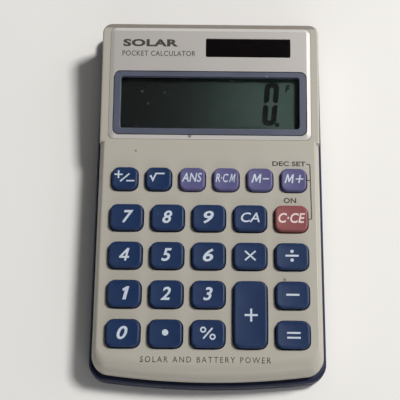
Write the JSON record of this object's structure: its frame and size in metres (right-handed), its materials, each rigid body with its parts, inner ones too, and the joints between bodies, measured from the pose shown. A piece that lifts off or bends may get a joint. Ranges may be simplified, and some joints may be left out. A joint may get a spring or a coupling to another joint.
{
  "type": "pocket calculator",
  "caption": "Pocket calculator with a tilted display, a solar cell, sprung keys and a hard cover that turns on a two-axis link at its top end to lie over the face or fold behind.",
  "frame": {"origin": "centre of the footprint, on the surface that the folded cover's rim stands on", "axes": "+Z out of the face of the calculator, +Y from the keys towards the display end, +X to the reader's right"},
  "size_m": [0.0718, 0.1186, 0.0173],
  "materials": {
    "beige_shell": "fine matte grain",
    "silver_panel": "satin metallic paint",
    "slate_print": "smooth printed border",
    "clear_window": "clear, lightly scratched",
    "lcd": "grey-green liquid crystal cell",
    "reflector": "matte reflector",
    "rubber": "matte silicone",
    "solar": "dark glossy cell",
    "red_wire": "insulated wire",
    "black_plastic": "satin",
    "board": "solder mask",
    "steel": "plated",
    "navy_key": "smooth satin",
    "purple_key": "smooth satin",
    "red_key": "smooth satin",
    "cover_navy": "fine matte grain"
  },
  "bodies": {
    "calculator_body": {"front_shell": "beige_shell", "rear_shell": "beige_shell", "display_bezel": "silver_panel", "window_frame": "slate_print", "window_lens": "clear_window", "lcd_cell": "lcd", "lcd_reflector": "reflector", "zebra_connector": "rubber", "solar_cell": "solar", "solar_lead_positive": "red_wire", "solar_lead_negative": "black_plastic", "main_board": "board", "key_mat": "rubber", "chip_blob": "black_plastic", "smoothing_capacitor": "black_plastic", "button_cell": "steel", "cell_contact_negative": "steel", "cell_contact_positive": "steel", "battery_door": "beige_shell", "battery_door_screw": "steel", "case_screw_bottom_left": "steel", "case_screw_bottom_right": "steel", "case_screw_top_left": "steel", "case_screw_top_right": "steel", "body_hinge_pin": "steel"},
    "cover_link": {"hinge_link": "cover_navy"},
    "cover": {"folding_cover": "cover_navy", "cover_hinge_pin": "steel"},
    "key_sign": {"key_sign": "navy_key"},
    "key_square_root": {"key_square_root": "navy_key"},
    "key_answer": {"key_answer": "purple_key"},
    "key_recall_memory": {"key_recall_memory": "purple_key"},
    "key_memory_minus": {"key_memory_minus": "purple_key"},
    "key_memory_plus": {"key_memory_plus": "purple_key"},
    "key_7": {"key_7": "navy_key"},
    "key_8": {"key_8": "navy_key"},
    "key_9": {"key_9": "navy_key"},
    "key_clear_all": {"key_clear_all": "navy_key"},
    "key_clear_entry": {"key_clear_entry": "red_key"},
    "key_4": {"key_4": "navy_key"},
    "key_5": {"key_5": "navy_key"},
    "key_6": {"key_6": "navy_key"},
    "key_multiply": {"key_multiply": "navy_key"},
    "key_divide": {"key_divide": "navy_key"},
    "key_1": {"key_1": "navy_key"},
    "key_2": {"key_2": "navy_key"},
    "key_3": {"key_3": "navy_key"},
    "key_subtract": {"key_subtract": "navy_key"},
    "key_0": {"key_0": "navy_key"},
    "key_point": {"key_point": "navy_key"},
    "key_percent": {"key_percent": "navy_key"},
    "key_equals": {"key_equals": "navy_key"},
    "key_add": {"key_add": "navy_key"}
  },
  "joints": [
    {"name": "cover_hinge_at_body", "type": "hinge", "parent": "calculator_body", "child": "cover_link", "pos_m": [0, 0.0576, 0.0096], "axis": [1, 0, 0], "range_deg": [0, 180]},
    {"name": "cover_hinge_at_link", "type": "hinge", "parent": "cover_link", "child": "cover", "pos_m": [0, 0.0579, 0.0023], "axis": [1, 0, 0], "range_deg": [0, 178.4]},
    {"name": "key_sign_press", "type": "slide", "parent": "calculator_body", "child": "key_sign", "axis": [0, 0, -1], "range_m": [0, 0.0008], "stiffness_N_per_m": 900, "springref_m": -0.0002},
    {"name": "key_square_root_press", "type": "slide", "parent": "calculator_body", "child": "key_square_root", "axis": [0, 0, -1], "range_m": [0, 0.0008], "stiffness_N_per_m": 900, "springref_m": -0.0002},
    {"name": "key_answer_press", "type": "slide", "parent": "calculator_body", "child": "key_answer", "axis": [0, 0, -1], "range_m": [0, 0.0008], "stiffness_N_per_m": 900, "springref_m": -0.0002},
    {"name": "key_recall_memory_press", "type": "slide", "parent": "calculator_body", "child": "key_recall_memory", "axis": [0, 0, -1], "range_m": [0, 0.0008], "stiffness_N_per_m": 900, "springref_m": -0.0002},
    {"name": "key_memory_minus_press", "type": "slide", "parent": "calculator_body", "child": "key_memory_minus", "axis": [0, 0, -1], "range_m": [0, 0.0008], "stiffness_N_per_m": 900, "springref_m": -0.0002},
    {"name": "key_memory_plus_press", "type": "slide", "parent": "calculator_body", "child": "key_memory_plus", "axis": [0, 0, -1], "range_m": [0, 0.0008], "stiffness_N_per_m": 900, "springref_m": -0.0002},
    {"name": "key_7_press", "type": "slide", "parent": "calculator_body", "child": "key_7", "axis": [0, 0, -1], "range_m": [0, 0.0008], "stiffness_N_per_m": 900, "springref_m": -0.0002},
    {"name": "key_8_press", "type": "slide", "parent": "calculator_body", "child": "key_8", "axis": [0, 0, -1], "range_m": [0, 0.0008], "stiffness_N_per_m": 900, "springref_m": -0.0002},
    {"name": "key_9_press", "type": "slide", "parent": "calculator_body", "child": "key_9", "axis": [0, 0, -1], "range_m": [0, 0.0008], "stiffness_N_per_m": 900, "springref_m": -0.0002},
    {"name": "key_clear_all_press", "type": "slide", "parent": "calculator_body", "child": "key_clear_all", "axis": [0, 0, -1], "range_m": [0, 0.0008], "stiffness_N_per_m": 900, "springref_m": -0.0002},
    {"name": "key_clear_entry_press", "type": "slide", "parent": "calculator_body", "child": "key_clear_entry", "axis": [0, 0, -1], "range_m": [0, 0.0008], "stiffness_N_per_m": 900, "springref_m": -0.0002},
    {"name": "key_4_press", "type": "slide", "parent": "calculator_body", "child": "key_4", "axis": [0, 0, -1], "range_m": [0, 0.0008], "stiffness_N_per_m": 900, "springref_m": -0.0002},
    {"name": "key_5_press", "type": "slide", "parent": "calculator_body", "child": "key_5", "axis": [0, 0, -1], "range_m": [0, 0.0008], "stiffness_N_per_m": 900, "springref_m": -0.0002},
    {"name": "key_6_press", "type": "slide", "parent": "calculator_body", "child": "key_6", "axis": [0, 0, -1], "range_m": [0, 0.0008], "stiffness_N_per_m": 900, "springref_m": -0.0002},
    {"name": "key_multiply_press", "type": "slide", "parent": "calculator_body", "child": "key_multiply", "axis": [0, 0, -1], "range_m": [0, 0.0008], "stiffness_N_per_m": 900, "springref_m": -0.0002},
    {"name": "key_divide_press", "type": "slide", "parent": "calculator_body", "child": "key_divide", "axis": [0, 0, -1], "range_m": [0, 0.0008], "stiffness_N_per_m": 900, "springref_m": -0.0002},
    {"name": "key_1_press", "type": "slide", "parent": "calculator_body", "child": "key_1", "axis": [0, 0, -1], "range_m": [0, 0.0008], "stiffness_N_per_m": 900, "springref_m": -0.0002},
    {"name": "key_2_press", "type": "slide", "parent": "calculator_body", "child": "key_2", "axis": [0, 0, -1], "range_m": [0, 0.0008], "stiffness_N_per_m": 900, "springref_m": -0.0002},
    {"name": "key_3_press", "type": "slide", "parent": "calculator_body", "child": "key_3", "axis": [0, 0, -1], "range_m": [0, 0.0008], "stiffness_N_per_m": 900, "springref_m": -0.0002},
    {"name": "key_subtract_press", "type": "slide", "parent": "calculator_body", "child": "key_subtract", "axis": [0, 0, -1], "range_m": [0, 0.0008], "stiffness_N_per_m": 900, "springref_m": -0.0002},
    {"name": "key_0_press", "type": "slide", "parent": "calculator_body", "child": "key_0", "axis": [0, 0, -1], "range_m": [0, 0.0008], "stiffness_N_per_m": 900, "springref_m": -0.0002},
    {"name": "key_point_press", "type": "slide", "parent": "calculator_body", "child": "key_point", "axis": [0, 0, -1], "range_m": [0, 0.0008], "stiffness_N_per_m": 900, "springref_m": -0.0002},
    {"name": "key_percent_press", "type": "slide", "parent": "calculator_body", "child": "key_percent", "axis": [0, 0, -1], "range_m": [0, 0.0008], "stiffness_N_per_m": 900, "springref_m": -0.0002},
    {"name": "key_equals_press", "type": "slide", "parent": "calculator_body", "child": "key_equals", "axis": [0, 0, -1], "range_m": [0, 0.0008], "stiffness_N_per_m": 900, "springref_m": -0.0002},
    {"name": "key_add_press", "type": "slide", "parent": "calculator_body", "child": "key_add", "axis": [0, 0, -1], "range_m": [0, 0.0008], "stiffness_N_per_m": 900, "springref_m": -0.0002}
  ]
}
